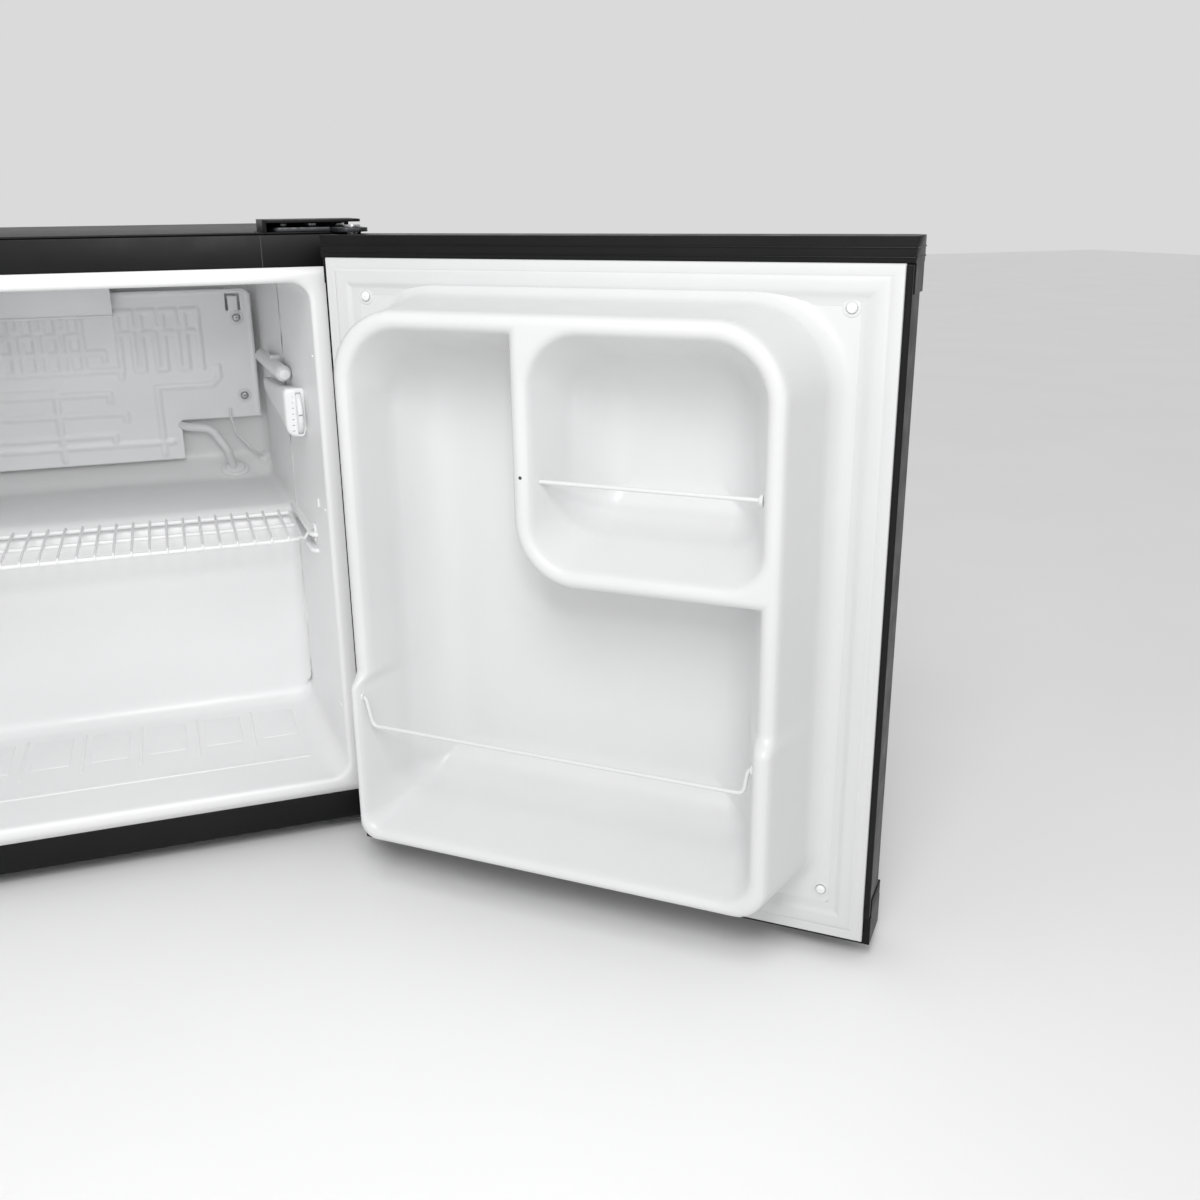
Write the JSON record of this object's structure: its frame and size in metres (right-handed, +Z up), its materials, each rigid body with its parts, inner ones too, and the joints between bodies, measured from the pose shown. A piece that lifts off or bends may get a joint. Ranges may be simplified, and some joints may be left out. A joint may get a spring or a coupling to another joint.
{
  "type": "mini fridge",
  "caption": "Compact one-door fridge with its door open: moulded door pockets with wire rails, wire shelf, cold plate, thermostat and rear condenser.",
  "frame": {"origin": "on the floor, in the middle of the rear foot rail's underside, on the cabinet's plane of symmetry", "axes": "+Z up, +Y to the back of the cabinet, +X to the hinge side"},
  "size_m": [0.7638, 0.8008, 0.5381],
  "materials": {
    "black_sheet": "satin",
    "black_trim": "gloss",
    "grey_steel": "satin",
    "white_liner": "gloss",
    "foam": "matte",
    "plate": "satin",
    "screw": "satin",
    "white_plastic": "satin",
    "white_wire": "gloss",
    "black_steel": "gloss",
    "rubber": "matte",
    "copper": "satin",
    "gasket": "satin"
  },
  "bodies": {
    "cabinet": {"side_panel_left": "black_sheet", "side_panel_right": "black_sheet", "top_panel": "black_sheet", "back_panel": "grey_steel", "base_pan": "grey_steel", "front_top_band": "black_trim", "front_bottom_band": "black_trim", "inner_liner": "white_liner", "shelf_ribs": "white_liner", "foam_left": "foam", "foam_right": "foam", "foam_top": "foam", "foam_floor": "foam", "foam_back": "foam", "foam_hump": "foam", "foam_roof": "foam", "evaporator_plate": "plate", "evaporator_spacers": "white_plastic", "evaporator_screws": "screw", "ceiling_bracket": "plate", "suction_tube": "white_plastic", "tube_grommet": "white_plastic", "sensor_tube": "white_plastic", "thermostat_housing": "white_plastic", "sensor_conduit": "white_plastic", "compressor": "black_steel", "compressor_feet": "grey_steel", "compressor_grommets": "rubber", "terminal_cover": "black_trim", "refrigerant_lines": "copper", "filter_drier": "copper", "condenser_coil": "black_steel", "condenser_wires": "black_steel", "condenser_brackets": "black_trim", "cord_inlet": "rubber", "top_hinge": "grey_steel", "top_hinge_pin": "screw", "hinge_screws": "screw", "hinge_cover": "black_trim", "bottom_hinge": "grey_steel", "bottom_hinge_pin": "screw", "rear_foot_rail": "rubber"},
    "door": {"door_skin": "black_sheet", "door_top_cap": "black_trim", "door_bottom_cap": "black_trim", "door_foam": "foam", "door_liner": "white_liner", "door_liner_rim": "white_liner", "door_ridge_runs": "white_liner", "door_ridge_corners": "white_liner", "door_gasket": "gasket", "liner_screws": "screw", "upper_rail": "white_wire", "lower_rail": "white_wire", "hinge_bushings": "white_plastic"},
    "knob": {"thermostat_knob": "white_plastic"},
    "shelf": {"wire_shelf": "white_wire"},
    "foot_left": {"front_foot_left": "black_trim"},
    "foot_right": {"front_foot_right": "black_trim"}
  },
  "joints": [
    {"name": "door_hinge", "type": "hinge", "parent": "cabinet", "child": "door", "pos_m": [0.2105, -0.431, 0.27], "axis": [0, 0, 1], "range_deg": [-138, 22]},
    {"name": "knob_turn", "type": "hinge", "parent": "cabinet", "child": "knob", "pos_m": [0.169, -0.3136, 0.374], "axis": [-1, 0, 0], "range_deg": [-30, 240]},
    {"name": "shelf_slide", "type": "slide", "parent": "cabinet", "child": "shelf", "axis": [0, 1, 0], "range_m": [-0.018, 0]},
    {"name": "foot_left_screw", "type": "slide", "parent": "cabinet", "child": "foot_left", "axis": [0, 0, 1], "range_m": [-0.008, 0]},
    {"name": "foot_right_screw", "type": "slide", "parent": "cabinet", "child": "foot_right", "axis": [0, 0, 1], "range_m": [-0.008, 0]}
  ]
}
